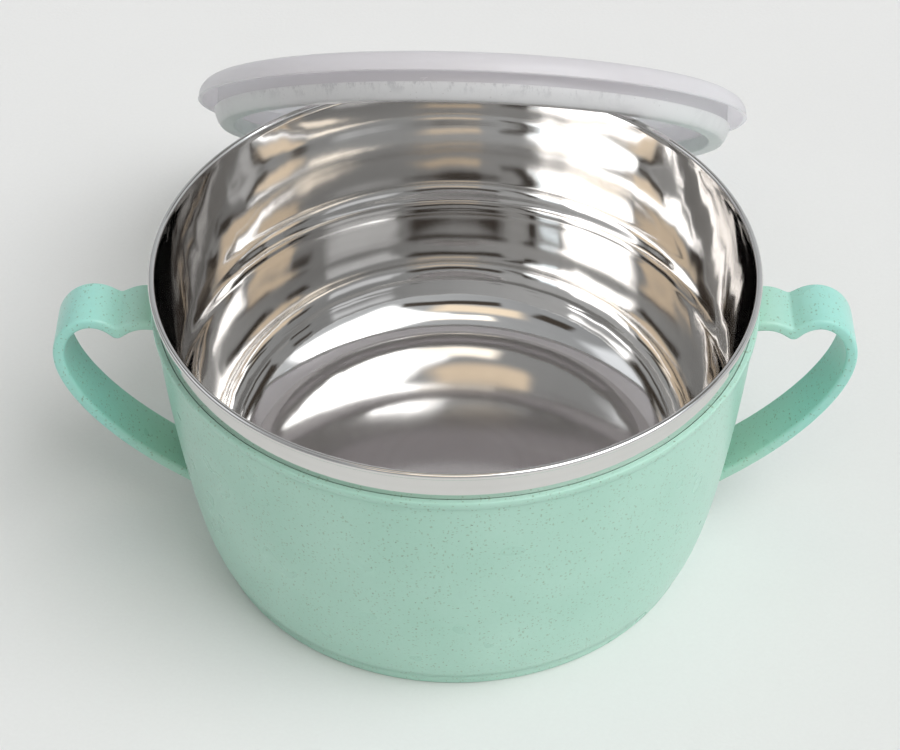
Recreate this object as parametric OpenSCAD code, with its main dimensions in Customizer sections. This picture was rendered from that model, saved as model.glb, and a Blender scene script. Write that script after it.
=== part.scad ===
/* [Bowl] */
// Outer diameter of the rolled steel rim
rim_d = 160; // [145:1:180]
// Height of the rim's top above the table
bowl_h = 89.2; // [82:0.1:105]
// Height of the bare steel band between the shell's lip and the rolled rim
band_h = 7.5; // [4:0.1:10]

/* [Shell] */
// Diameter of the foot band at the table
foot_d = 135; // [120:1:140]
// Height of the foot band
foot_h = 4.4; // [3:0.1:7]
// How far the foot band flares outward over its height, measured on the radius
foot_flare = 0.9; // [0:0.1:1.5]
// How far the wall stands out past the foot band below it
foot_step = 0.4; // [0:0.1:1]
// Width of the flat ring that the bowl stands on
foot_ring_w = 3.2; // [2:0.1:6]
// Rounding of the foot band's bottom edge
foot_round = 0.8; // [0.3:0.1:1.5]
// Depth of the recess under the bowl, inside the foot ring
foot_recess = 2; // [1:0.1:3]
// Thickness of the shell's base
base_t = 2.4; // [1.6:0.1:3]
// Thickness of the shell's wall where it stands free of the liner
shell_t = 2; // [1.4:0.1:2.2]
// How far the lip's bead stands out past the bare steel band
lip_over = 1.2; // [1:0.1:1.6]
// Height of the lip's bead
lip_h = 2.6; // [1.8:0.1:4]
// Rounding of the lip's top edge
lip_round = 0.5; // [0.2:0.05:0.8]
// Depth of the groove under the lip's bead
groove_depth = 0.8; // [0.3:0.05:1]

/* [Liner] */
// Thickness of the steel sheet
sheet_t = 0.6; // [0.4:0.05:0.9]
// Diameter of the rolled edge at the rim
rim_bead_d = 1.8; // [1.4:0.1:2.6]
// How far the bare band lies in from the rim's outer edge
band_inset = 1.3; // [1.2:0.1:2]
// Depth of the straight part of the wall below the rim's top
straight_depth = 7.2; // [4:0.1:9]
// How far the wall tapers inward from the straight part down to the step
wall_taper = 3.5; // [3:0.1:5]
// Height of the step's upper edge above the table
step_z = 55.3; // [45:0.1:60]
// Height of the step in the wall
step_h = 5.8; // [3:0.1:8]
// How far the step narrows the liner, measured on the radius
step_in = 1.6; // [1:0.1:3]
// Diameter of the flat floor
floor_d = 116; // [100:1:120]
// Height of the floor's top above the table
floor_z = 13; // [10:0.1:18]
// Depth of the fine ring pressed into the floor at its edge
floor_dish = 0.4; // [0.2:0.1:1]
// Width of the fine ring pressed into the floor at its edge
floor_ring_w = 1.8; // [1:0.1:3]
// Clearance between the liner and the shell where they meet
liner_fit = 0.1; // [0.05:0.05:0.3]

/* [Handles] */
// Width of each handle's strap
handle_w = 15.7; // [10:0.1:22]
// Thickness of each handle's strap
handle_t = 3.2; // [2.4:0.1:4.5]
// How far each handle reaches past the rim
handle_reach = 26.9; // [22:0.1:35]
// Distance from the lip's top down to the top of the handle's lobe
handle_drop = 4.7; // [4:0.1:12]
// Height above the table where the strap's centre meets the wall at the bottom
handle_low_z = 17.8; // [12:0.1:24]

/* [Lid] */
// Clearance between the lid's skirt and the rim
skirt_clear = 0.5; // [0.3:0.1:1]
// Thickness of the lid's skirt
skirt_t = 1.2; // [0.8:0.1:1.6]
// How far the skirt flares outward at its free edge
skirt_flare = 0.2; // [0:0.1:0.5]
// Height of the straight part of the skirt, from its free edge up to the shoulder
skirt_h = 1.2; // [0.6:0.1:3]
// Inner radius of the lid's rounded shoulder
shoulder_r = 3.5; // [3:0.1:5]
// Width of the raised edge round the lid's top
edge_w = 4.5; // [3:0.1:8]
// Thickness of the lid's panel
panel_t = 1.6; // [1:0.1:2]
// Height of the panel's underside above the skirt's free edge
panel_level = 3.5; // [2.5:0.1:4]
// Thickness of the plug wall where the seal ring holds it
plug_t = 2; // [1.2:0.1:3]
// How far the plug wall reaches below the skirt's free edge
plug_depth = 5.6; // [4:0.1:8]

/* [Seal ring] */
// Gap on the radius between the seal's lip and the liner's wall when the lid is on
seal_play = 1.2; // [0.3:0.1:1.5]
// Distance from the skirt's free edge down to the seal's upper edge
seal_drop = 2.2; // [1:0.1:3]
// How far the seal's lip stands out past the plug wall above it
seal_lip = 0.9; // [0.4:0.1:1.2]
// Depth of the rebate that the seal sits in
seal_rebate = 1; // [0.6:0.1:1.4]
// Thickness of the seal under the plug wall's end
seal_t = 1.4; // [1:0.1:2]
// Thickness of the seal inside the plug wall
seal_inner_t = 2.5; // [1.5:0.1:3]
// Clearance between the seal and the plug wall
seal_fit = 0.1; // [0.05:0.05:0.2]

/* [Leaning lid] */
// Angle between the leaning lid and the table
lid_tilt = 44.5; // [40:0.5:50]
// Turn of the leaning lid about its own slope line
lid_roll = 2; // [0:0.5:4]
// Distance of the leaning lid's centre to the right of the bowl's axis
lid_side = 5; // [0:0.5:10]
// Gap between the leaning lid and what it touches, at the table and at the rim
lean_gap = 0.3; // [0.2:0.05:0.5]

/* [Hidden] */
$fn = 144;

// Number of straight pieces in a long curve, in a short arc and in the shell's inner wall
curve_steps = 18;
arc_steps = 6;
wall_steps = 30;
// Number of points left out just before the heart's cusp, so that the strap's sides don't cross there
cusp_clear = 3;

// Radii and heights at the top of the bowl
rim_r = rim_d / 2;
bead_r = rim_bead_d / 2;
bead_ring_r = rim_r - bead_r;
bead_z = bowl_h - bead_r;
band_r = rim_r - band_inset;
lip_z = bowl_h - rim_bead_d - band_h;
lip_r = band_r + lip_over;
groove_z = lip_z - lip_h;
groove_r = lip_r - groove_depth;

// Radii and heights at the foot
foot_r = foot_d / 2;
foot_top_r = foot_r + foot_flare;
wall_low_r = foot_top_r + foot_step;
ring_r = foot_r - foot_round - foot_ring_w;
base_z = foot_recess + base_t;

// Radii and heights inside the liner
liner_r = band_r - sheet_t;
straight_z = bowl_h - straight_depth;
step_r = liner_r - wall_taper;
step_low_r = step_r - step_in;
step_low_z = step_z - step_h;
floor_r = floor_d / 2;

// Outward and upward shares of the shell wall's two middle control points
wall_shares = [[0.43, 0.10], [0.93, 0.73]];
// Outward and upward shares of the control points of the liner's lower curve
liner_shares = [[0.93, 0.55], [0.70, 0]];
// Control points of the handle's three curves: share of the reach past the rim, share of the height
small_lobe_shares = [[-0.25, 0.96], [0.08, 1.02], [0.22, 0.99], [0.365, 0.937]];
large_lobe_shares = [[0.365, 0.937], [0.646, 1.081], [1, 0.964], [1, 0.787]];
tail_shares = [[1, 0.787], [1, 0.569], [0.487, 0.245], [-0.27, 0]];
// Shares of the seal's depth and of its lip at the corners of its rounded outside
seal_depth_shares = [0, 0.35, 0.78, 1];
seal_lip_shares = [1, 0.79, 0.32, -0.42];
// Share of the base's inner corner that is cut off, of the shell's wall
corner_share = 1.5;

// Point on a cubic curve with control points p, at share s of its length
function cubic(p, s) =
    pow(1 - s, 3) * p[0] + 3 * pow(1 - s, 2) * s * p[1] + 3 * (1 - s) * s * s * p[2] + pow(s, 3) * p[3];

// Points along a cubic curve
function curve(p, steps) = [for (i = [0 : steps]) cubic(p, i / steps)];

// Points along an arc about c, from angle a to angle b
function arc(c, r, a, b) =
    [for (i = [0 : arc_steps]) let (t = a + (b - a) * i / arc_steps) c + r * [cos(t), sin(t)]];

// Unit vector along v, and v turned a quarter turn to the left
function unit(v) = v / norm(v);
function left(v) = [-v.y, v.x];

// Path p moved sideways by d, to the left of its own direction
function shifted(p, d) =
    let (last = len(p) - 1)
    [for (i = [0 : last])
        let (before = unit(p[max(i, 1)] - p[max(i, 1) - 1]))
        let (after = unit(p[min(i, last - 1) + 1] - p[min(i, last - 1)]))
        let (middle = unit(before + after))
        p[i] + left(middle) * d / (middle * before)];

// The same path from its other end
function reversed(p) = [for (i = [len(p) - 1 : -1 : 0]) p[i]];

// A path without its first point, and a path without its last n points
function rest(p) = [for (i = [1 : len(p) - 1]) p[i]];
function shortened(p, n) = [for (i = [0 : len(p) - 1 - n]) p[i]];

// Point between two corners, at shares s of the way out and up
function between(low, high, s) = [low.x + (high.x - low.x) * s.x, low.y + (high.y - low.y) * s.y];

// Shell: outer wall from the foot band up to the groove
wall_low = [wall_low_r, foot_h];
wall_high = [groove_r, groove_z];
wall_path = curve([
    wall_low,
    between(wall_low, wall_high, wall_shares[0]),
    between(wall_low, wall_high, wall_shares[1]),
    wall_high
], curve_steps);
wall_table = [for (p = wall_path) [p.y, p.x]];

// Liner: inner wall from the straight part down to the floor
curve_low = [floor_r, floor_z];
curve_high = [step_low_r, step_low_z];
liner_wall = concat(
    [[liner_r, bead_z], [liner_r, straight_z], [step_r, step_z]],
    curve([
        curve_high,
        between(curve_low, curve_high, liner_shares[0]),
        between(curve_low, curve_high, liner_shares[1]),
        curve_low
    ], curve_steps)
);
liner_floor = [
    [floor_r - floor_ring_w, floor_z],
    [floor_r - floor_ring_w - floor_dish, floor_z - floor_dish],
    [0, floor_z - floor_dish]
];
liner_inside = concat(liner_wall, liner_floor);
liner_outside = shifted(liner_inside, sheet_t);
liner_table = [for (i = [len(liner_wall) - 1 : -1 : 0]) [liner_outside[i].y, liner_outside[i].x]];

// Shell: inner wall, which follows the outer wall and makes room for the liner near the lip
function shell_inner_r(z) = max(lookup(z, wall_table) - shell_t, lookup(z, liner_table) + liner_fit);
corner = shell_t * corner_share;
shell_inside = [for (i = [0 : wall_steps])
    let (z = lip_z + (base_z + corner - lip_z) * i / wall_steps) [shell_inner_r(z), z]];

// Shell: the whole outside, from the foot ring up to the top of the lip
lip_low_z = groove_z + groove_depth;
shell_outside = concat(
    arc([foot_r - foot_round, foot_round], foot_round, -90, 0),
    [[foot_top_r, foot_h]],
    wall_path,
    [[lip_r, lip_low_z]],
    arc([lip_r - lip_round, lip_z - lip_round], lip_round, 0, 90)
);

// Handle: centre line of the strap in the X and Z directions
handle_low = [rim_r, handle_low_z];
handle_high = [rim_r + handle_reach - handle_t / 2, lip_z - handle_drop - handle_t / 2];
function handle_curve(shares) = curve([for (s = shares) between(handle_low, handle_high, s)], curve_steps);
handle_path = concat(
    shortened(handle_curve(small_lobe_shares), cusp_clear),
    handle_curve(large_lobe_shares),
    rest(handle_curve(tail_shares))
);

// Lid: radii and heights in its own frame, where the skirt's free edge is at height 0
skirt_in_r = rim_r + skirt_clear;
shoulder_c = [skirt_in_r - skirt_flare - shoulder_r, skirt_h];
shoulder_out_r = shoulder_r + skirt_t;
lid_top = skirt_h + shoulder_out_r;
seal_lip_r = liner_r - seal_play;
plug_r = seal_lip_r - seal_lip;
plug_end_r = plug_r - seal_rebate;
plug_in_r = plug_end_r - plug_t;
panel_top = panel_level + panel_t;
edge_r = shoulder_c.x - edge_w;
lid_outline = concat(
    [[0, panel_level], [plug_in_r, panel_level], [plug_in_r, -plug_depth], [plug_end_r, -plug_depth]],
    [[plug_end_r, -seal_drop], [plug_r, -seal_drop], [plug_r, shoulder_c.y + shoulder_r]],
    reversed(arc(shoulder_c, shoulder_r, 0, 90)),
    [[skirt_in_r, 0], [skirt_in_r + skirt_t, 0]],
    arc(shoulder_c, shoulder_out_r, 0, 90),
    [[edge_r, lid_top], [edge_r - (lid_top - panel_top), panel_top], [0, panel_top]]
);

// Seal: a channel that wraps the end of the plug wall
seal_top = -seal_drop - seal_fit;
seal_bottom = -plug_depth - seal_fit - seal_t;
seal_h = seal_top - seal_bottom;
seal_in_r = plug_in_r - seal_fit - seal_inner_t;
seal_round = seal_t / 2;
seal_outline = concat(
    [[plug_end_r + seal_fit, -plug_depth - seal_fit], [plug_end_r + seal_fit, seal_top]],
    [for (i = [0 : len(seal_depth_shares) - 1])
        [plug_r + seal_lip * seal_lip_shares[i] - seal_rebate * seal_depth_shares[i],
         seal_top - seal_h * seal_depth_shares[i]]],
    reversed(arc([seal_in_r + seal_round, seal_bottom + seal_round], seal_round, 180, 270)),
    reversed(arc([seal_in_r + seal_round, seal_top - seal_round], seal_round, 90, 180)),
    [[plug_in_r - seal_fit, seal_top], [plug_in_r - seal_fit, -plug_depth - seal_fit]]
);

// Leaning lid: direction its underside faces, and where its centre then lies
lean_n = [-sin(lid_roll), -sin(lid_tilt) * cos(lid_roll), -cos(lid_tilt) * cos(lid_roll)];
lean_flat = norm([lean_n.x, lean_n.y]);
lid_reach = max([for (p = concat(lid_outline, seal_outline)) p.x * lean_flat + p.y * lean_n.z]);
lid_centre_z = lean_gap + lid_reach;
rim_reach = bead_z * lean_n.z - bead_ring_r * lean_flat - bead_r;
lid_plane = rim_reach + panel_level - lean_gap;
lid_centre_y = (lid_plane - lid_side * lean_n.x - lid_centre_z * lean_n.z) / lean_n.y;

// The shell's outside, filled in
module shell_block() {
    rotate_extrude() polygon(concat([[0, 0]], shell_outside, [[0, lip_z]]));
}

// Moulded shell with its foot ring, hollow for the liner
module outer_shell() {
    color([0.63, 0.82, 0.74])
    rotate_extrude()
    polygon(concat(
        [[0, foot_recess], [ring_r - foot_recess / 2, foot_recess], [ring_r, 0]],
        shell_outside,
        shell_inside,
        [[shell_inner_r(base_z + corner) - corner, base_z], [0, base_z]]
    ));
}

// One strap handle, cut to the shell's wall
module handle() {
    difference() {
        translate([0, handle_w / 2, 0])
        rotate([90, 0, 0])
        linear_extrude(handle_w)
        polygon(concat(shifted(handle_path, handle_t / 2), reversed(shifted(handle_path, -handle_t / 2))));
        shell_block();
    }
}

module right_handle() {
    color([0.60, 0.82, 0.76]) handle();
}

module left_handle() {
    color([0.60, 0.82, 0.76]) mirror([1, 0, 0]) handle();
}

// Pressed steel liner with its rolled rim
module steel_liner() {
    color([0.74, 0.75, 0.77])
    rotate_extrude() {
        polygon(concat(liner_inside, reversed(liner_outside)));
        translate([bead_ring_r, bead_z]) circle(bead_r);
    }
}

// Places what is modelled in the lid's own frame where the lid leans behind the bowl
module leaning() {
    translate([lid_side, lid_centre_y, lid_centre_z])
    rotate([-lid_tilt, 0, 0])
    rotate([0, lid_roll, 0])
    children();
}

// Lid with its skirt, raised edge and plug wall
module lid() {
    color([0.93, 0.92, 0.93, 0.75]) leaning() rotate_extrude() polygon(lid_outline);
}

// Silicone ring on the end of the plug wall
module lid_seal() {
    color([0.97, 0.97, 0.96]) leaning() rotate_extrude() polygon(seal_outline);
}

outer_shell();
left_handle();
right_handle();
steel_liner();
lid();
lid_seal();
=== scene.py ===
import math

import bmesh
import bpy
from mathutils import Euler, Matrix, Vector


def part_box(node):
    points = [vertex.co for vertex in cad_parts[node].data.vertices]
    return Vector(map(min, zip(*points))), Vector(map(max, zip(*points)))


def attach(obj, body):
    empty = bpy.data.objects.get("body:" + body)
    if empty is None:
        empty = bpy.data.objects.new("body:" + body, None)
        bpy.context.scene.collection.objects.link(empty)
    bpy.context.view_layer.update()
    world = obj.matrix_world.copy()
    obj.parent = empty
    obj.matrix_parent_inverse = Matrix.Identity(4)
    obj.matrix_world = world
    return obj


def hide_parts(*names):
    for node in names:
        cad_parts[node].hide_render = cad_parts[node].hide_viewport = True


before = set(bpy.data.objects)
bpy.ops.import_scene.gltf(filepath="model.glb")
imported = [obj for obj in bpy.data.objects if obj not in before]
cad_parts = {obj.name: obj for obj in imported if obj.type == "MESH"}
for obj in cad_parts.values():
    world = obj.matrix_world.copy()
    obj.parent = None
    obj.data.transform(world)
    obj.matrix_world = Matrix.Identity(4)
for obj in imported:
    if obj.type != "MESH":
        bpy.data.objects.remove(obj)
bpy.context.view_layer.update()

MM = 0.001

# Camera, fitted to the photograph: where it stands, how far it looks down and turns, and its lens
CAMERA_AT = (-0.0001, -0.5207, 0.5240)
CAMERA_DOWN = math.radians(42.37)
CAMERA_TURN = math.radians(0.14)
CAMERA_LENS = 104
CAMERA_NEAR = 0.01
SENSOR_WIDTH = 36

# Sizes read from the frame
shell_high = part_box("outer_shell")[1]
liner_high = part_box("steel_liner")[1]
handle_low, handle_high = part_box("right_handle")
lid_low, lid_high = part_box("lid")
LIP_R = shell_high.x
LIP_Z = shell_high.z
RIM_R = liner_high.x
RIM_Z = liner_high.z

# How finely the pieces are drawn
AROUND = 192
WALL_STEPS = 48
LINER_STEPS = 40
INSIDE_STEPS = 40
LOBE_STEPS = 24
ROUND_STEPS = 8
LINER_MESH = 1.5 * MM
MERGE = 0.001 * MM
# How strongly a rounded corner is drawn towards its point
ROUND_PULL = 0.45

# Shell details. An ease is a small step that takes the sharpness off an edge, and shares are
# points of a curve, counted from one corner of its box to the other, across and up
FOOT_R = 67.5 * MM
FOOT_H = 4.4 * MM
FOOT_FLARE = 0.9 * MM
FOOT_STEP = 0.4 * MM
FOOT_STEP_H = 0.3 * MM
FOOT_EASE = 0.1 * MM
FOOT_ROUND = 0.8 * MM
FOOT_RING_W = 3.2 * MM
FOOT_RECESS = 2 * MM
BASE_T = 2.4 * MM
SHELL_T = 2 * MM
BASE_CORNER = 1.5 * SHELL_T
LIP_H = 2.6 * MM
LIP_ROUND = 0.5 * MM
LIP_EASE = 0.06 * MM
LIP_TUCK = 0.25 * MM
LIP_TUCK_H = 0.4 * MM
GROOVE_DEPTH = 0.8 * MM
WALL_SHARES = [(0, 0), (0.43, 0.10), (0.93, 0.73), (1, 1)]

# Liner details
SHEET_T = 0.6 * MM
BEAD_R = 0.9 * MM
BEAD_STEPS = 24
BEAD_START, BEAD_END = 185, -110
BAND_INSET = 1.3 * MM
STRAIGHT_DEPTH = 7.2 * MM
WALL_TAPER = 3.5 * MM
STEP_Z = 55.3 * MM
STEP_H = 5.8 * MM
STEP_IN = 1.6 * MM
CREASE_SOFT = 5 * MM
STEP_SOFT = 2.2 * MM
STEP_CLEAR = 1.3 * STEP_SOFT
# The point of the sweep that the step's last corner is rounded towards
SWEEP_TOWARDS = 4
FLOOR_R = 57.4 * MM
FLOOR_Z = 14 * MM
FLOOR_DISH = 0.35 * MM
FLOOR_RING_W = 3.2 * MM
FLOOR_RING_SHARES = (0.25, 0.5, 0.75)
FLOOR_MIDDLE_SHARE = 0.6
LINER_FIT = 0.1 * MM
LINER_SHARES = [(1, 1), (0.988, 0.502), (0.706, 0.102), (0, 0)]

# Handle details
HANDLE_W = handle_high.y - handle_low.y
HANDLE_T = 3.2 * MM
HANDLE_DROP = 4.7 * MM
HANDLE_LOW_Z = 17.8 * MM
HANDLE_ROUND = 0.95 * MM
HANDLE_ROOT = 0.8 * MM
VALLEY_R = 1.1 * MM
RIDGE_R = 1.7 * MM
SMALL_LOBE_SHARES = [(-0.25, 0.96), (0.08, 1.02), (0.22, 0.99), (0.365, 0.937)]
LARGE_LOBE_SHARES = [(0.365, 0.937), (0.646, 1.081), (1, 0.964), (1, 0.787)]
TAIL_SHARES = [(1, 0.787), (1, 0.569), (0.487, 0.245), (-0.27, 0)]

# Lid and seal details, and how the lid leans
SKIRT_CLEAR = 0.5 * MM
SKIRT_T = 1.2 * MM
SKIRT_FLARE = 0.2 * MM
SKIRT_H = 1.2 * MM
SKIRT_EASE = 0.3 * MM
SKIRT_INNER_EASE = 0.2 * MM
SHOULDER_R = 3.5 * MM
SHOULDER_STEPS = 12
SHOULDER_OUT_STEPS = 16
EDGE_W = 4.5 * MM
EDGE_EASE_W = 0.4 * MM
EDGE_EASE_H = 0.1 * MM
EDGE_SLOPE_W = 1.6 * MM
PANEL_T = 1.6 * MM
PANEL_LEVEL = 3.5 * MM
PANEL_EASE = 0.05 * MM
PANEL_CORNER = 1 * MM
PANEL_CORNER_EASE = 0.3 * MM
PLUG_T = 2 * MM
PLUG_DEPTH = 5.6 * MM
SEAL_PLAY = 1.2 * MM
SEAL_DROP = 2.2 * MM
SEAL_LIP = 0.9 * MM
SEAL_REBATE = 1 * MM
SEAL_T = 1.4 * MM
SEAL_INNER_T = 2.5 * MM
SEAL_FIT = 0.1 * MM
SEAL_ROUND = 0.25 * MM
SEAL_STEPS = 6
# The lip's outer side: how far down, and how much of the lip still stands out there
SEAL_LIP_SHARES = [(0, 1), (0.35, 0.79), (0.78, 0.32), (1, -0.42)]
LID_TILT = math.radians(44.5)
LID_ROLL = math.radians(2)

# Radii and heights that several pieces share
BAND_R = RIM_R - BAND_INSET
LINER_IN_R = BAND_R - SHEET_T
FLOOR_RING_R = FLOOR_R - FLOOR_RING_W
GROOVE_Z = LIP_Z - LIP_H
GROOVE_R = LIP_R - GROOVE_DEPTH
FOOT_TOP_R = FOOT_R + FOOT_FLARE
SKIRT_IN_R = RIM_R + SKIRT_CLEAR
SHOULDER_C = (SKIRT_IN_R - SKIRT_FLARE - SHOULDER_R, SKIRT_H)
SHOULDER_OUT_R = SHOULDER_R + SKIRT_T
LID_TOP = SKIRT_H + SHOULDER_OUT_R
PLUG_R = BAND_R - SHEET_T - SEAL_PLAY - SEAL_LIP
PLUG_END_R = PLUG_R - SEAL_REBATE
PLUG_IN_R = PLUG_END_R - PLUG_T


# Outlines, as lists of points (distance out, height)

def between(low, high, share):
    """The point at these shares of the way, across and up, from one point to another"""
    return (low[0] + (high[0] - low[0]) * share[0], low[1] + (high[1] - low[1]) * share[1])


def curve(points, steps):
    """Points along a cubic curve"""
    (ax, az), (bx, bz), (cx, cz), (dx, dz) = points
    line = []
    for i in range(steps + 1):
        s = i / steps
        k = ((1 - s) ** 3, 3 * (1 - s) ** 2 * s, 3 * (1 - s) * s * s, s ** 3)
        line.append((k[0] * ax + k[1] * bx + k[2] * cx + k[3] * dx,
                     k[0] * az + k[1] * bz + k[2] * cz + k[3] * dz))
    return line


def arc(centre, radius, start, end, steps=ROUND_STEPS):
    """Points along an arc, from one angle to another in degrees"""
    angles = [math.radians(start + (end - start) * i / steps) for i in range(steps + 1)]
    return [(centre[0] + radius * math.cos(a), centre[1] + radius * math.sin(a)) for a in angles]


def unit(a, b):
    """The direction from one point to another, of length 1"""
    length = math.hypot(b[0] - a[0], b[1] - a[1])
    return ((b[0] - a[0]) / length, (b[1] - a[1]) / length)


def rounded(corner, before, after, reach):
    """A corner of an outline, rounded from this far before it to this far past it"""
    near = ROUND_PULL * reach
    return curve([
        (corner[0] - before[0] * reach, corner[1] - before[1] * reach),
        (corner[0] - before[0] * near, corner[1] - before[1] * near),
        (corner[0] + after[0] * near, corner[1] + after[1] * near),
        (corner[0] + after[0] * reach, corner[1] + after[1] * reach)], ROUND_STEPS)


def turns(path):
    """For each point of a path: the direction to its left, and how much a strip widens there"""
    across = []
    for i in range(len(path)):
        before = unit(path[max(i, 1) - 1], path[max(i, 1)])
        after = unit(path[min(i, len(path) - 2)], path[min(i, len(path) - 2) + 1])
        middle = unit((0, 0), (before[0] + after[0], before[1] + after[1]))
        widen = 1 / (middle[0] * before[0] + middle[1] * before[1])
        across.append(((-middle[1], middle[0]), widen))
    return across


def shifted(path, distance):
    """A path moved sideways, to its left"""
    moved = []
    for (x, z), (left, widen) in zip(path, turns(path)):
        moved.append((x + left[0] * distance * widen, z + left[1] * distance * widen))
    return moved


def out_at(path, z):
    """How far out a path is at height z"""
    for (r0, z0), (r1, z1) in zip(path, path[1:]):
        if min(z0, z1) <= z <= max(z0, z1) and z0 != z1:
            return r0 + (r1 - r0) * (z - z0) / (z1 - z0)
    return min(path, key=lambda point: abs(point[1] - z))[0]


def finely(path, longest):
    """The same path with its long stretches cut into shorter ones"""
    line = [path[0]]
    for (r0, z0), (r1, z1) in zip(path, path[1:]):
        pieces = max(1, math.ceil(math.hypot(r1 - r0, z1 - z0) / longest))
        line += [(r0 + (r1 - r0) * i / pieces, z0 + (z1 - z0) * i / pieces)
                 for i in range(1, pieces + 1)]
    return line


def wall_outline():
    """The shell's outer wall, from above the foot up to the groove under the lip"""
    low = (FOOT_TOP_R + FOOT_STEP, FOOT_H + FOOT_STEP_H)
    high = (GROOVE_R, GROOVE_Z)
    return curve([between(low, high, share) for share in WALL_SHARES], WALL_STEPS)


def liner_outline():
    """The liner's inner wall, from the band down to the floor"""
    low, high = (FLOOR_R, FLOOR_Z), (LINER_IN_R - WALL_TAPER - STEP_IN, STEP_Z - STEP_H)
    sweep = curve([between(low, high, share) for share in LINER_SHARES], LINER_STEPS)
    corners = [(LINER_IN_R, RIM_Z - BEAD_R), (LINER_IN_R, RIM_Z - STRAIGHT_DEPTH),
               (LINER_IN_R - WALL_TAPER, STEP_Z), high, sweep[SWEEP_TOWARDS]]
    line = corners[:1]
    for i, reach in enumerate((CREASE_SOFT, STEP_SOFT, STEP_SOFT), 1):
        before, after = unit(corners[i - 1], corners[i]), unit(corners[i], corners[i + 1])
        line += rounded(corners[i], before, after, reach)
    return line + [point for point in sweep if math.dist(point, high) > STEP_CLEAR]


# Modelling steps

def take(name):
    """The piece just made, named"""
    piece = bpy.context.object
    piece.name = name
    piece.data.name = name
    return piece


def deselect():
    bpy.ops.object.select_all(action="DESELECT")


def edit():
    bpy.ops.object.mode_set(mode="EDIT")


def leave_edit():
    bpy.ops.object.mode_set(mode="OBJECT")


def only(piece):
    """Selects this piece and nothing else"""
    deselect()
    piece.select_set(True)
    bpy.context.view_layer.objects.active = piece


def turned(name, profile, closed=False):
    """A round piece, drawn out ring by ring from a disc or, if its outline is a loop, a ring"""
    deselect()
    (r, z) = profile[0]
    fill = "NOTHING" if closed else "NGON"
    bpy.ops.mesh.primitive_circle_add(vertices=AROUND, radius=r, fill_type=fill,
                                      location=(0, 0, z))
    piece = take(name)
    bpy.ops.object.transform_apply(location=True)
    edit()
    bpy.ops.mesh.select_all(action="SELECT")
    for next_r, next_z in profile[1:] + (profile[:1] if closed else []):
        bpy.ops.mesh.extrude_region_move(TRANSFORM_OT_translate={"value": (0, 0, next_z - z)})
        bpy.ops.transform.resize(value=(next_r / r, next_r / r, 1),
                                 center_override=(0, 0, next_z))
        r, z = next_r, next_z
    bpy.ops.mesh.select_all(action="SELECT")
    bpy.ops.mesh.remove_doubles(threshold=MERGE)
    bpy.ops.mesh.normals_make_consistent(inside=False)
    leave_edit()
    return piece


def smooth(piece, degrees):
    """Shades a piece smooth, but for edges sharper than this"""
    only(piece)
    bpy.ops.object.shade_smooth_by_angle(angle=math.radians(degrees))


def bevelled(piece, width, segments, degrees):
    """Rounds the edges that are sharper than this"""
    only(piece)
    bevel = piece.modifiers.new("bevel", "BEVEL")
    bevel.width = width
    bevel.segments = segments
    bevel.limit_method = "ANGLE"
    bevel.angle_limit = math.radians(degrees)
    bevel.use_clamp_overlap = False
    bpy.ops.object.modifier_apply(modifier=bevel.name)


# Outer shell

def shell_inside(wall, lowest):
    """The shell's inner wall, from the lip down: it follows the outer wall, clear of the liner"""
    liner = shifted(liner_outline(), SHEET_T)
    inside = []
    for i in range(INSIDE_STEPS + 1):
        z = LIP_Z + (lowest - LIP_Z) * i / INSIDE_STEPS
        inside.append((max(out_at(wall, z) - SHELL_T, out_at(liner, z) + LINER_FIT), z))
    return inside


def outer_shell():
    wall = wall_outline()
    ring_r = FOOT_R - FOOT_ROUND - FOOT_RING_W
    base_z = FOOT_RECESS + BASE_T
    bead = LIP_H - GROOVE_DEPTH
    inside = shell_inside(wall, base_z + BASE_CORNER)
    profile = [(ring_r - FOOT_RECESS / 2, FOOT_RECESS), (ring_r, 0)]
    profile += arc((FOOT_R - FOOT_ROUND, FOOT_ROUND), FOOT_ROUND, -90, 0)
    profile += [(FOOT_TOP_R, FOOT_H - FOOT_EASE)] + wall
    profile += [(LIP_R - LIP_TUCK, LIP_Z - bead - LIP_TUCK_H), (LIP_R - LIP_EASE, LIP_Z - bead)]
    profile += arc((LIP_R - LIP_ROUND, LIP_Z - LIP_ROUND), LIP_ROUND, 0, 90)
    profile += inside + [(inside[-1][0] - BASE_CORNER, base_z)]
    piece = turned("shell_body", profile)
    smooth(piece, degrees=40)
    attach(piece, "bowl")
    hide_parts("outer_shell")
    return piece


# Handles

def heart_line():
    """The middle line of the strap, and which of its points is the cusp"""
    low = (RIM_R, HANDLE_LOW_Z)
    high = (handle_high.x - HANDLE_T / 2, LIP_Z - HANDLE_DROP - HANDLE_T / 2)
    small, large, tail = [curve([between(low, high, share) for share in shares], LOBE_STEPS)
                          for shares in (SMALL_LOBE_SHARES, LARGE_LOBE_SHARES, TAIL_SHARES)]
    return small + large[1:] + tail[1:], len(small) - 1


def free_sections():
    """The strap's lower and upper edge all along the heart, with its cusp rounded"""
    path, cusp = heart_line()
    before, after = unit(path[cusp - 1], path[cusp]), unit(path[cusp], path[cusp + 1])
    bend = abs(math.atan2(after[1], after[0]) - math.atan2(before[1], before[0])) / 2
    cusp_reach = (HANDLE_T / 2 + VALLEY_R) * math.tan(bend)
    lower, upper = shifted(path, -HANDLE_T / 2), shifted(path, HANDLE_T / 2)
    sections = []
    for i, pair in enumerate(zip(lower, upper)):
        if i == cusp:
            ridge = rounded(pair[0], before, after, RIDGE_R * math.tan(bend))
            valley = rounded(pair[1], before, after, VALLEY_R * math.tan(bend))
            sections += list(zip(ridge, valley))
        elif math.dist(path[i], path[cusp]) > cusp_reach:
            sections.append(pair)
    return sections


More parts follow.
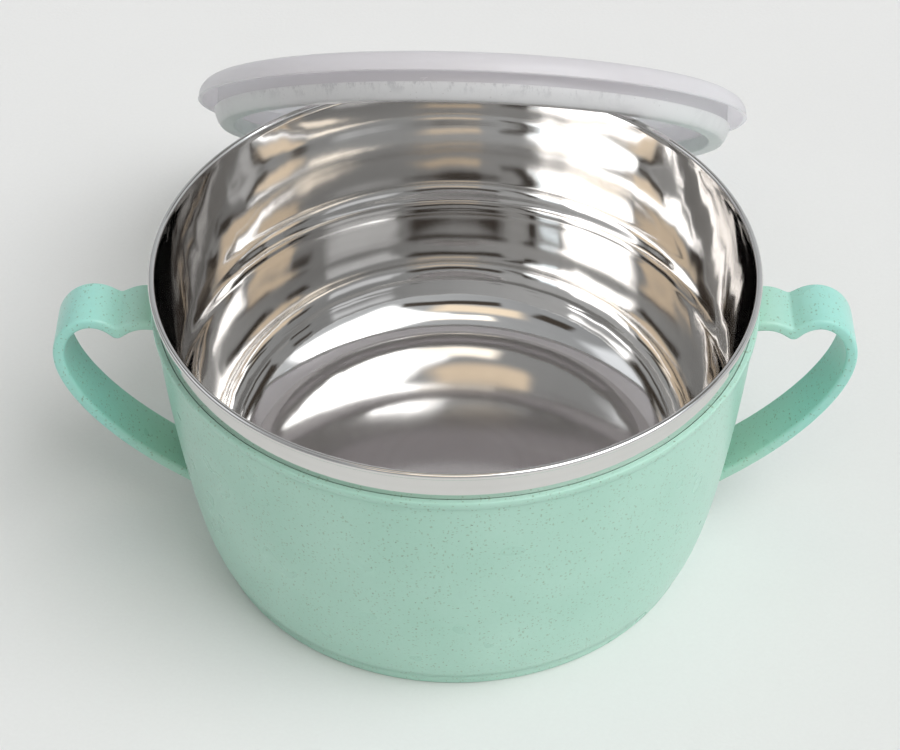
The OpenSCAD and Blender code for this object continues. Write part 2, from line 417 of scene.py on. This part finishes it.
def depth_in(wall, point):
    """How deep a point lies inside the shell's outer wall"""
    return out_at(wall, point[1]) - point[0]


def root_in(wall, point, next_point):
    """Where a line drawn back from the strap's edge reaches its root in the wall: found by
    halving a reach, which is counted in lengths of the edge's end stretch"""
    near, far, halvings = 0, 8, 40
    for _ in range(halvings):
        reach = (near + far) / 2
        back = between(next_point, point, (1 + reach, 1 + reach))
        if depth_in(wall, back) < HANDLE_ROOT:
            near = reach
        else:
            far = reach
    return between(next_point, point, (1 + near, 1 + near))


def strap_sections():
    """The strap's sections, from its root in the wall round the heart and back to the wall"""
    wall = wall_outline()
    free = [pair for pair in free_sections()
            if max(depth_in(wall, point) for point in pair) < HANDLE_ROOT / 2]
    first = tuple(root_in(wall, free[0][k], free[1][k]) for k in (0, 1))
    last = tuple(root_in(wall, free[-1][k], free[-2][k]) for k in (0, 1))
    return [first] + free + [last]


def placed(section):
    """A section's middle, its length and the angle at which it stands"""
    (x0, z0), (x1, z1) = section
    length, angle = math.dist(section[0], section[1]), math.atan2(z1 - z0, x1 - x0)
    return (x0 + x1) / 2, (z0 + z1) / 2, length, angle


def first_edge(name, section):
    """One edge of a small plane, stood where the strap starts, and left in edit mode"""
    x, z, length, angle = placed(section)
    deselect()
    bpy.ops.mesh.primitive_plane_add(size=length, location=(x, -HANDLE_W / 2, z),
                                     rotation=(math.pi / 2, math.pi / 2 - angle, 0))
    piece = take(name)
    bpy.ops.object.transform_apply(location=True, rotation=True)
    edit()
    bpy.ops.mesh.select_mode(type="VERT")
    bpy.ops.mesh.select_all(action="DESELECT")
    mesh = bmesh.from_edit_mesh(piece.data)
    for v in mesh.verts:
        v.select = v.co.x < x
    mesh.select_flush_mode()
    bmesh.update_edit_mesh(piece.data)
    bpy.ops.mesh.delete(type="VERT")
    bpy.ops.mesh.select_all(action="SELECT")
    to_middle = (-length / 2 * math.sin(angle), 0, length / 2 * math.cos(angle))
    bpy.ops.transform.translate(value=to_middle)
    return piece


def strap_handle(name, node, side):
    """A strap: one edge is drawn along the heart's line, then drawn out to the strap's width"""
    sections = strap_sections()
    piece = first_edge(name, sections[0])
    x, z, length, angle = placed(sections[0])
    for section in sections[1:]:
        next_x, next_z, next_length, next_angle = placed(section)
        middle = (next_x, -HANDLE_W / 2, next_z)
        step = (next_x - x, 0, next_z - z)
        bpy.ops.mesh.extrude_region_move(TRANSFORM_OT_translate={"value": step})
        bpy.ops.transform.rotate(value=next_angle - angle, orient_axis="Y", center_override=middle)
        bpy.ops.transform.resize(value=(next_length / length,) * 3, center_override=middle)
        x, z, length, angle = next_x, next_z, next_length, next_angle
    bpy.ops.mesh.select_all(action="SELECT")
    bpy.ops.mesh.extrude_region_move(TRANSFORM_OT_translate={"value": (0, HANDLE_W, 0)})
    if side < 0:
        bpy.ops.mesh.select_all(action="SELECT")
        bpy.ops.transform.mirror(constraint_axis=(True, False, False), center_override=(0, 0, 0))
    bpy.ops.mesh.select_all(action="SELECT")
    bpy.ops.mesh.normals_make_consistent(inside=False)
    leave_edit()
    bevelled(piece, HANDLE_ROUND, segments=4, degrees=50)
    smooth(piece, degrees=45)
    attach(piece, "bowl")
    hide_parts(node)
    return piece


# Steel liner

def steel_liner():
    inside = liner_outline()
    outside = shifted(inside, SHEET_T)
    bead_c = (RIM_R - BEAD_R, RIM_Z - BEAD_R)
    bead_low = RIM_Z - 2 * BEAD_R
    middle_z = FLOOR_Z - FLOOR_DISH
    profile = [(FLOOR_RING_R * FLOOR_MIDDLE_SHARE, middle_z), (FLOOR_RING_R, middle_z)]
    profile += [(FLOOR_RING_R + FLOOR_RING_W * share, FLOOR_Z - FLOOR_DISH * (1 - share * share))
                for share in FLOOR_RING_SHARES]
    profile += list(reversed(inside))[:-1] + [(LINER_IN_R, bead_low)]
    profile += arc(bead_c, BEAD_R, BEAD_START, BEAD_END, BEAD_STEPS)
    profile += [point for point in outside if point[1] < bead_low]
    profile += [(FLOOR_RING_R, middle_z - SHEET_T)]
    piece = turned("liner_sheet", finely(profile, LINER_MESH))
    smooth(piece, degrees=30)
    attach(piece, "bowl")
    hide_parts("steel_liner")
    return piece


# Leaning lid and its seal ring

def lid_stand():
    """Where the lid's own frame stands, and how it is turned"""
    turn = Matrix.Rotation(-LID_TILT, 4, "X") @ Matrix.Rotation(LID_ROLL, 4, "Y")
    axis = turn @ Vector((0, 0, 1))
    flat = math.sqrt(1 - axis.y ** 2)
    x = (lid_high.x + lid_low.x) / 2
    y = lid_high.y - (SHOULDER_C[0] * flat + SHOULDER_C[1] * axis.y + SHOULDER_OUT_R)
    z = lid_low.z + (SKIRT_IN_R + SKIRT_T) * math.sqrt(1 - axis.z ** 2)
    return Vector((x, y, z)), turn


def leaning(piece):
    """Puts a piece that is modelled in the lid's own frame where the lid leans"""
    at, turn = lid_stand()
    only(piece)
    piece.matrix_world = Matrix.Translation(at) @ turn
    bpy.ops.object.transform_apply(location=True, rotation=True)


def lid():
    edge_r = SHOULDER_C[0] - EDGE_W
    panel_top = PANEL_LEVEL + PANEL_T
    skirt_out_r = SKIRT_IN_R + SKIRT_T
    profile = [(PLUG_IN_R - PANEL_CORNER, PANEL_LEVEL),
               (PLUG_IN_R - PANEL_CORNER_EASE, PANEL_LEVEL - PANEL_CORNER_EASE),
               (PLUG_IN_R, PANEL_LEVEL - PANEL_CORNER)]
    profile += [(PLUG_IN_R, -PLUG_DEPTH), (PLUG_END_R, -PLUG_DEPTH), (PLUG_END_R, -SEAL_DROP)]
    profile += [(PLUG_R, -SEAL_DROP), (PLUG_R, SHOULDER_C[1] + SHOULDER_R)]
    profile += list(reversed(arc(SHOULDER_C, SHOULDER_R, 0, 90, SHOULDER_STEPS)))
    profile += [(SKIRT_IN_R, SKIRT_INNER_EASE), (SKIRT_IN_R + SKIRT_EASE, 0)]
    profile += [(skirt_out_r - SKIRT_EASE, 0), (skirt_out_r, SKIRT_EASE)]
    profile += arc(SHOULDER_C, SHOULDER_OUT_R, 0, 90, SHOULDER_OUT_STEPS)
    profile += [(edge_r + EDGE_EASE_W, LID_TOP), (edge_r, LID_TOP - EDGE_EASE_H)]
    profile += [(edge_r - (LID_TOP - panel_top), panel_top + PANEL_EASE),
                (edge_r - EDGE_SLOPE_W, panel_top)]
    piece = turned("lid_cover", profile)
    smooth(piece, degrees=40)
    leaning(piece)
    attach(piece, "lid")
    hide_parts("lid")
    return piece


def lid_seal():
    top = -SEAL_DROP - SEAL_FIT
    channel = -PLUG_DEPTH - SEAL_FIT
    bottom = channel - SEAL_T
    inner_r = PLUG_IN_R - SEAL_FIT - SEAL_INNER_T
    fat = SEAL_T / 2
    profile = [(PLUG_END_R + SEAL_FIT, channel), (PLUG_END_R + SEAL_FIT, top)]
    profile += [(PLUG_R + SEAL_LIP * lip - SEAL_REBATE * down, top - (top - bottom) * down)
                for down, lip in SEAL_LIP_SHARES]
    profile += list(reversed(arc((inner_r + fat, bottom + fat), fat, 180, 270, SEAL_STEPS)))
    profile += list(reversed(arc((inner_r + fat, top - fat), fat, 90, 180, SEAL_STEPS)))
    profile += [(PLUG_IN_R - SEAL_FIT, top), (PLUG_IN_R - SEAL_FIT, channel)]
    piece = turned("seal_ring", profile, closed=True)
    bevelled(piece, SEAL_ROUND, segments=2, degrees=40)
    smooth(piece, degrees=50)
    leaning(piece)
    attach(piece, "lid")
    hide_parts("lid_seal")
    return piece


# How materials are written

# How flecks are bent, and how soft their edges are, counted in cells
NUDGE_SCALE = 0.9
FLECK_NUDGE = 0.6
FLECK_SOFT = 0.02


class Signal:
    """One output of a node, which can be used in sums"""

    def __init__(self, nodes, node, output):
        self.nodes = nodes
        self.node = node
        self.socket = node.outputs[output] if node.outputs else None

    def maths(self, operation, first, second):
        """A sum of two signals, or of a signal and a number"""
        return self.nodes.add("ShaderNodeMath", {"operation": operation}, {0: first, 1: second})

    def __add__(self, other):
        return self.maths("ADD", self, other)

    def __radd__(self, other):
        return self.maths("ADD", other, self)

    def __sub__(self, other):
        return self.maths("SUBTRACT", self, other)

    def __rsub__(self, other):
        return self.maths("SUBTRACT", other, self)

    def __mul__(self, other):
        return self.maths("MULTIPLY", self, other)

    def __rmul__(self, other):
        return self.maths("MULTIPLY", other, self)


class Nodes:
    """A set of nodes and the means to add to them"""

    def __init__(self, tree):
        self.tree = tree
        tree.nodes.clear()

    def add(self, kind, settings, sockets, output=0):
        """Any node: its settings first, then the values or links of its sockets"""
        node = self.tree.nodes.new(kind)
        for setting, value in settings.items():
            setattr(node, setting, value)
        for socket, value in sockets.items():
            if isinstance(value, Signal):
                self.tree.links.new(value.socket, node.inputs[socket])
            else:
                node.inputs[socket].default_value = value
        return Signal(self, node, output)

    def join(self, signal, end, socket):
        """Links a signal to a socket of a node that is already there"""
        self.tree.links.new(signal.socket, end.node.inputs[socket])

    def level(self, signal, low, high, to_low=0, to_high=1, kind="LINEAR"):
        """A signal stretched from one range to another, and kept within it"""
        return self.add("ShaderNodeMapRange", {"clamp": True, "interpolation_type": kind},
                        {"Value": signal, "From Min": low, "From Max": high,
                         "To Min": to_low, "To Max": to_high}, "Result")

    def vector(self, operation, first, second=(0, 0, 0), output="Vector", **others):
        """Vector maths, which colours go through as well"""
        return self.add("ShaderNodeVectorMath", {"operation": operation},
                        {0: first, 1: second, **others}, output)

    def part(self, vector, axis):
        """How far a vector goes along X, Y or Z"""
        return self.add("ShaderNodeSeparateXYZ", {}, {"Vector": vector}, axis)

    def mix(self, factor, first, second):
        """Two colours mixed by a signal: 0 gives the first and 1 the second"""
        return self.add("ShaderNodeMix", {"data_type": "RGBA"},
                        {"Factor": factor, 6: first, 7: second}, 2)


class Finish(Nodes):
    """A material: one Principled surface and the nodes that feed it"""

    def __init__(self, name, **constants):
        self.material = bpy.data.materials.new(name)
        self.material.use_nodes = True
        super().__init__(self.material.node_tree)
        constants = {socket.replace("_", " "): value for socket, value in constants.items()}
        self.surface = self.add("ShaderNodeBsdfPrincipled", {}, constants)
        self.output = self.add("ShaderNodeOutputMaterial", {}, {"Surface": self.surface})
        self.place = self.add("ShaderNodeTexCoord", {}, {}, "Object")

    def feed(self, socket, signal):
        """Links what changes over the surface to one of its sockets"""
        self.join(signal, self.surface, socket)

    def stretched(self, scale, turn=(0, 0, 0)):
        """Object coordinates, scaled unevenly"""
        return self.add("ShaderNodeMapping", {},
                        {"Vector": self.place, "Scale": scale, "Rotation": turn}, "Vector")

    def noise(self, scale=1, detail=2, roughness=0.5, vector=None):
        """Soft noise, of so many patches to the metre"""
        return self.add("ShaderNodeTexNoise", {},
                        {"Vector": vector or self.place, "Scale": scale, "Detail": detail,
                         "Roughness": roughness}, "Fac")

    def cells(self, vector, output):
        """Scattered points: how near the nearest is, or a colour of its own"""
        return self.add("ShaderNodeTexVoronoi", {}, {"Vector": vector, "Scale": 1}, output)

    def nudged(self, vector, amount):
        """A vector bent a little this way and that"""
        wobble = self.add("ShaderNodeTexNoise", {},
                          {"Vector": vector, "Scale": NUDGE_SCALE, "Detail": 2}, "Color")
        return self.vector("ADD", vector, self.vector("SCALE", wobble, Scale=amount))

    def flecks(self, scale, size, stretch=(1, 1, 1), turn=(0, 0, 0)):
        """Scattered flecks, each of its own size: 1 inside them and 0 between them"""
        bent = self.nudged(self.stretched([scale * k for k in stretch], turn), FLECK_NUDGE)
        own = self.add("ShaderNodeSeparateColor", {}, {"Color": self.cells(bent, "Color")}, "Red")
        reach = self.cells(bent, "Distance") - own * own * size
        return self.level(reach, -FLECK_SOFT, FLECK_SOFT, 1, 0)

    def rings(self, where):
        """Fine lines that follow one another along a signal"""
        return self.add("ShaderNodeTexNoise", {"noise_dimensions": "1D"},
                        {"W": where, "Scale": 1, "Detail": 2}, "Fac")

    def tinted(self, colour, mask, strength, tint):
        """A colour with a tint laid over it inside a mask, at this strength"""
        return self.mix(mask * strength, colour, tint)

    def bump(self, height, distance):
        """Small heights in the surface, where 1 stands for this distance"""
        self.feed("Normal", self.add("ShaderNodeBump", {},
                                     {"Height": height, "Distance": distance, "Strength": 1}))

    def let_through(self, share, colour):
        """Lets this share of the light come through from behind, as milky plastic does"""
        glow = self.add("ShaderNodeBsdfTranslucent", {}, {"Color": colour})
        both = self.add("ShaderNodeMixShader", {}, {0: share, 1: self.surface, 2: glow})
        self.join(both, self.output, "Surface")

    def put_on(self, *pieces):
        """Gives these pieces this finish and no other"""
        for piece in pieces:
            piece.data.materials.clear()
            piece.data.materials.append(self.material)


# Mint wheat-fibre plastic

MINT_DEEP = (0.380, 0.640, 0.525, 1)
MINT_PALE = (0.485, 0.735, 0.625, 1)
MINT_HANDLE = (0.300, 0.760, 0.715, 1)
MINT_GRAIN = (0.330, 0.580, 0.440, 1)
# The handles are a little bluer, fully so from the second of these distances out
HANDLE_TINT_FROM = 81 * MM
HANDLE_TINT_TO = 96 * MM
FLECKS = [
    # cells to the metre, largest size in cells, stretch, turn, strength, colour
    (1600, 0.34, (0.55, 0.55, 1), (0, 0, 0), 0.44, (0.20, 0.26, 0.14, 1)),
    (1300, 0.30, (1, 1, 0.45), (0.5, 0.8, 0.3), 0.40, (0.22, 0.28, 0.15, 1)),
    (640, 0.15, (1, 1, 1), (0, 0, 0), 0.62, (0.14, 0.13, 0.07, 1)),
]


def mint_plastic():
    finish = Finish("mint wheat-fibre plastic", IOR=1.46, Subsurface_Weight=0.12,
                    Subsurface_Scale=2 * MM, Subsurface_Radius=(0.7, 1, 0.85))
    cloud = finish.noise(scale=38, detail=1)
    grain = finish.level(finish.noise(scale=850, detail=1), 0.2, 0.8)
    out = finish.part(finish.place, "X")
    on_handle = finish.level(out * out, HANDLE_TINT_FROM ** 2, HANDLE_TINT_TO ** 2)
    colour = finish.mix(cloud, MINT_DEEP, MINT_PALE)
    colour = finish.tinted(colour, on_handle, strength=0.50, tint=MINT_HANDLE)
    colour = finish.tinted(colour, grain, strength=0.16, tint=MINT_GRAIN)
    for scale, size, stretch, turn, strength, tint in FLECKS:
        specks = finish.flecks(scale, size, stretch, turn)
        colour = finish.tinted(colour, specks, strength, tint)
    finish.feed("Base Color", colour)
    finish.feed("Roughness", finish.level(finish.noise(scale=90, detail=1), 0, 1, 0.24, 0.35))
    finish.bump(finish.noise(scale=60), distance=0.02 * MM)
    return finish


# Polished steel

STEEL = (0.74, 0.725, 0.71, 1)
STEEL_LINES = (0.66, 0.645, 0.63, 1)
STEEL_GRIME = (0.56, 0.54, 0.52, 1)
# The steel's own roughness, and what lines, hair lines, grime and the floor each add to it
STEEL_ROUGHNESS = 0.02
MARK_ROUGHNESS = 0.03
# Turning lines to the metre, and hair lines along and across
FINE_LINES = 2200
SOFT_LINES = 420
HAIR_LINES = (300, 300, 3200)
# The pressed wall isn't quite round: waves and ripples around it, how they change upwards, and
# how high they and the lines stand, counted in steps of STEEL_BUMP
STEEL_BUMP = 0.02 * MM
WAVES_AROUND, WAVE_HEIGHT = 3.6, 20
RIPPLES_AROUND, RIPPLE_HEIGHT = 9, 4
WAVES_UPWARD = 6
LINE_HEIGHT = 0.02
FLOOR_LINE_HEIGHT = 0.05
# The wall's look gives way to the floor's between these heights
WALL_LOOK_FROM = FLOOR_Z + 9 * MM
FLOOR_LOOK_FROM = FLOOR_Z + 0.2 * MM


def polished_steel():
    finish = Finish("polished steel", Metallic=1.0)
    flat = finish.stretched((1, 1, 0))
    radius = finish.vector("LENGTH", flat, output="Value")
    around = finish.vector("NORMALIZE", flat)
    height = finish.part(finish.place, "Z")
    on_floor = finish.level(height, FLOOR_LOOK_FROM, WALL_LOOK_FROM, 1, 0)
    on_wall = 1 - on_floor
    upward = finish.add("ShaderNodeCombineXYZ", {}, {"Z": height * WAVES_UPWARD})
    waves, ripples = [
        finish.noise(detail=1, vector=finish.vector(
            "ADD", finish.vector("SCALE", around, Scale=count), upward))
        for count in (WAVES_AROUND, RIPPLES_AROUND)]
    lines = finish.rings(height * FINE_LINES + radius * FINE_LINES)
    soft_lines = finish.rings(height * SOFT_LINES + radius * SOFT_LINES)
    hairs = finish.noise(detail=2, roughness=0.6, vector=finish.stretched(HAIR_LINES))
    grime = finish.level(finish.noise(scale=35, detail=4, roughness=0.65), 0.45, 0.75)
    colour = finish.tinted(STEEL, soft_lines, strength=0.5, tint=STEEL_LINES)
    colour = finish.tinted(colour, grime, strength=0.25, tint=STEEL_GRIME)
    finish.feed("Base Color", colour)
    roughness = STEEL_ROUGHNESS
    for mark in (lines, hairs, grime, on_floor):
        roughness = roughness + mark * MARK_ROUGHNESS
    finish.feed("Roughness", roughness)
    sway = (waves * WAVE_HEIGHT + ripples * RIPPLE_HEIGHT) * on_wall
    rise = lines * (LINE_HEIGHT + on_floor * FLOOR_LINE_HEIGHT)
    finish.bump(sway + hairs * LINE_HEIGHT + rise, distance=STEEL_BUMP)
    return finish


# Milky lid plastic and white silicone, in the leaning lid's own frame

LID_DEEP = (0.94, 0.925, 0.94, 1)
LID_PALE = (0.97, 0.96, 0.97, 1)
LID_SCUFF = (0.90, 0.90, 0.90, 1)
LID_GLOW = (0.98, 0.96, 0.98, 1)
LID_SCUFF_STRETCH = (60, 900, 500)
LID_SCUFF_TURN = (0.4, 0.2, 0.5)
LID_LINES = 1500
SEAL_DEEP = (0.86, 0.86, 0.86, 1)
SEAL_PALE = (0.93, 0.93, 0.93, 1)
SEAL_BLOTCH = (0.66, 0.66, 0.67, 1)
SEAL_MARK = (0.36, 0.36, 0.38, 1)
SEAL_DUST = (0.45, 0.42, 0.40, 1)
SEAL_GLOW = (0.97, 0.97, 0.97, 1)
SEAL_MARK_STRETCH = (420, 200, 200)
# Dark marks lie along the lip's raised side and fade out on the right. Each pair says where
# they begin to show and where they show fully
MARKS_ALONG = (-40 * MM, -60 * MM)
MARKS_ASIDE = (50 * MM, 30 * MM)
MARKS_OUT = (75.6 * MM, 76.8 * MM)


def lid_place(finish):
    """Object coordinates in the lid's own frame, and the distance from its axis"""
    at, turn = lid_stand()
    here = finish.add("ShaderNodeMapping", {"vector_type": "TEXTURE"},
                      {"Vector": finish.place, "Location": at, "Rotation": turn.to_euler()},
                      "Vector")
    flat = finish.add("ShaderNodeMapping", {}, {"Vector": here, "Scale": (1, 1, 0)}, "Vector")
    return here, finish.vector("LENGTH", flat, output="Value")


def milky_lid():
    finish = Finish("milky lid plastic", IOR=1.49, Transmission_Weight=0.35)
    _, radius = lid_place(finish)
    cloud = finish.level(finish.noise(scale=30, detail=3, roughness=0.6), 0.3, 0.7)
    lines = finish.rings(radius * LID_LINES)
    slanted = finish.stretched(LID_SCUFF_STRETCH, LID_SCUFF_TURN)
    scuffs = finish.level(finish.noise(detail=3, roughness=0.7, vector=slanted), 0.5, 0.8)
    colour = finish.mix(cloud, LID_DEEP, LID_PALE)
    finish.feed("Base Color", finish.tinted(colour, scuffs, strength=0.15, tint=LID_SCUFF))
    finish.feed("Roughness", 0.20 + cloud * 0.05 + scuffs * 0.05)
    pebbles = finish.noise(scale=220, detail=3, roughness=0.6)
    finish.bump(pebbles * 0.6 + lines * 0.25, distance=0.02 * MM)
    finish.let_through(share=0.45, colour=LID_GLOW)
    return finish


def white_silicone():
    finish = Finish("white silicone")
    here, radius = lid_place(finish)
    # Where the dark marks show: along the lip's raised side, fading out to the right, at the lip's
    # outer edge
    marked_area = finish.level(finish.part(here, "Y"), *MARKS_ALONG)
    marked_area = marked_area * finish.level(finish.part(here, "X"), *MARKS_ASIDE)
    marked_area = marked_area * finish.level(radius, *MARKS_OUT)
    streaks = finish.noise(detail=4, roughness=0.75, vector=finish.stretched(SEAL_MARK_STRETCH))
    marks = finish.level(streaks, 0.50, 0.62) * marked_area
    blotches = finish.level(finish.noise(scale=130, detail=4, roughness=0.7), 0.52, 0.66)
    colour = finish.mix(finish.noise(scale=50), SEAL_DEEP, SEAL_PALE)
    colour = finish.tinted(colour, blotches, strength=0.2, tint=SEAL_BLOTCH)
    colour = finish.tinted(colour, marks, strength=0.5, tint=SEAL_MARK)
    dust = finish.flecks(scale=700, size=0.2)
    finish.feed("Base Color", finish.tinted(colour, dust, strength=0.3, tint=SEAL_DUST))
    finish.feed("Roughness", 0.38 + blotches * 0.2)
    pebbles = finish.noise(scale=420, detail=3, roughness=0.6)
    finish.bump(pebbles + blotches * 0.5, distance=0.05 * MM)
    finish.let_through(share=0.3, colour=SEAL_GLOW)
    return finish


# Floor, light and camera

FLOOR_SIZE = 6
FLOOR_DEEP = (0.76, 0.755, 0.745, 1)
FLOOR_PALE = (0.84, 0.835, 0.825, 1)

# The studio's plain light on the left and on the right, and its tint
LIGHT_LEFT, LIGHT_RIGHT = 0.37, 0.72
LIGHT_TINT = (0.94, 0.975, 1)
DAY = (0.97, 0.985, 1)
COOL_DAY = (0.92, 0.96, 1)
BLUE_DAY = (0.8, 0.92, 1)
PALE_LAMP = (1, 0.93, 0.82)
WARM_LAMP = (1, 0.84, 0.64)
BROWN = (1, 0.82, 0.66)
DARK = 0.07
PANELS = [
    # azimuth from the right round to the back, height, half sizes, soft edge, light, tint
    (165, 43, (0.32, 0.18), 0.16, 1.1, COOL_DAY),
    (-31, 55, (0.38, 0.30), 0.14, 4.6, DAY),
    (-103, 50, (0.27, 0.11), 0.12, 1.3, WARM_LAMP),
    (-91, 67, (0.18, 0.08), 0.08, 2.6, PALE_LAMP),
    (98, 76, (0.17, 0.10), 0.12, 1.15, WARM_LAMP),
    (88, 53, (0.42, 0.13), 0.10, DARK, BROWN),
    (27, 56, (0.07, 0.25), 0.06, DARK, BROWN),
    (12, 55, (0.03, 0.22), 0.03, 2.6, BLUE_DAY),
    (-88, 39, (0.33, 0.055), 0.04, DARK, BROWN),
    (-141, 40, (0.13, 0.08), 0.05, DARK, BROWN),
]


def pale_floor():
    finish = Finish("pale floor", Roughness=0.62)
    cloud = finish.noise(scale=9, detail=4, roughness=0.6)
    grain = finish.noise(scale=900)
    finish.feed("Base Color", finish.mix(cloud * 0.6 + grain * 0.4, FLOOR_DEEP, FLOOR_PALE))
    finish.bump(grain, distance=0.05 * MM)
    return finish


def floor():
    deselect()
    bpy.ops.mesh.primitive_plane_add(size=FLOOR_SIZE, location=(0, 0, 0))
    piece = take("floor")
    pale_floor().put_on(piece)


def facing(azimuth, height):
    """The direction at these angles in degrees, and the two directions across it"""
    a, h = math.radians(azimuth), math.radians(height)
    ahead = (math.cos(h) * math.cos(a), math.cos(h) * math.sin(a), math.sin(h))
    upward = (-math.sin(h) * math.cos(a), -math.sin(h) * math.sin(a), math.cos(h))
    return ahead, (-math.sin(a), math.cos(a), 0), upward


def soft_panel(sky, direction, azimuth, height, size, edge):
    """1 inside a panel with soft edges that hangs in the studio, and 0 outside it"""
    ahead, sideways, upward = facing(azimuth, height)
    # Only on the panel's own side of the studio
    inside = sky.level(sky.vector("DOT_PRODUCT", direction, ahead, "Value"), 0, 0.1)
    for axis, half in ((sideways, size[0]), (upward, size[1])):
        off = sky.add("ShaderNodeMath", {"operation": "ABSOLUTE"},
                      {0: sky.vector("DOT_PRODUCT", direction, axis, "Value")})
        edges = (half - edge / 2, half + edge / 2)
        inside = inside * sky.level(off, *edges, 1, 0, "SMOOTHSTEP")
    return inside


def studio():
    """Plain soft light, with soft-edged panels for the steel to show"""
    world = bpy.data.worlds.new("studio")
    bpy.context.scene.world = world
    world.use_nodes = True
    sky = Nodes(world.node_tree)
    direction = sky.add("ShaderNodeTexCoord", {}, {}, "Generated")
    shade = sky.level(sky.part(direction, "X"), -1, 1, LIGHT_LEFT, LIGHT_RIGHT)
    light = sky.vector("SCALE", LIGHT_TINT, Scale=shade)
    for azimuth, height, size, edge, strength, tint in PANELS:
        inside = soft_panel(sky, direction, azimuth, height, size, edge)
        light = sky.mix(inside, light, (*[strength * k for k in tint], 1))
    background = sky.add("ShaderNodeBackground", {}, {"Color": light})
    sky.add("ShaderNodeOutputWorld", {}, {"Surface": background})


def camera():
    data = bpy.data.cameras.new("camera")
    data.lens = CAMERA_LENS
    data.sensor_width = SENSOR_WIDTH
    data.clip_start = CAMERA_NEAR
    holder = bpy.data.objects.new("camera", data)
    bpy.context.scene.collection.objects.link(holder)
    holder.location = CAMERA_AT
    holder.rotation_euler = Euler((math.pi / 2 - CAMERA_DOWN, 0, CAMERA_TURN))
    bpy.context.scene.camera = holder


shell = outer_shell()
right = strap_handle("handle_right", "right_handle", 1)
left = strap_handle("handle_left", "left_handle", -1)
liner = steel_liner()
cover = lid()
seal = lid_seal()
mint_plastic().put_on(shell, right, left)
polished_steel().put_on(liner)
milky_lid().put_on(cover)
white_silicone().put_on(seal)
floor()
studio()
camera()
bpy.context.scene.view_settings.view_transform = "Standard"
